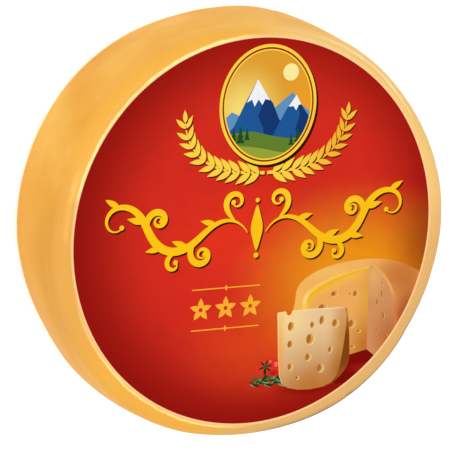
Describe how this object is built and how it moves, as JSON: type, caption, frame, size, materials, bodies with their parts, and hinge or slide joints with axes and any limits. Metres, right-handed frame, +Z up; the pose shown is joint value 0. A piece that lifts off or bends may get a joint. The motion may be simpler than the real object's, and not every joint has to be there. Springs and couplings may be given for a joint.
{
  "type": "cheese wheel",
  "caption": "Whole low, round cheese wheel with rounded edges and a slightly swollen side, lying flat, with a large round printed label on its upper face.",
  "frame": {"origin": "centre of the flat underside, on the surface that the wheel lies on", "axes": "+Z up along the wheel's axis and out of the label; +Y towards the top edge of the label as it is read; +X towards its right-hand edge"},
  "size_m": [0.3, 0.3, 0.0822],
  "materials": {
    "rind": "satin, smooth golden-yellow cheese rind",
    "label": "semi-gloss coated paper, printed red with gold"
  },
  "bodies": {
    "root": {"cheese_wheel": "rind", "label": "label"}
  },
  "joints": []
}
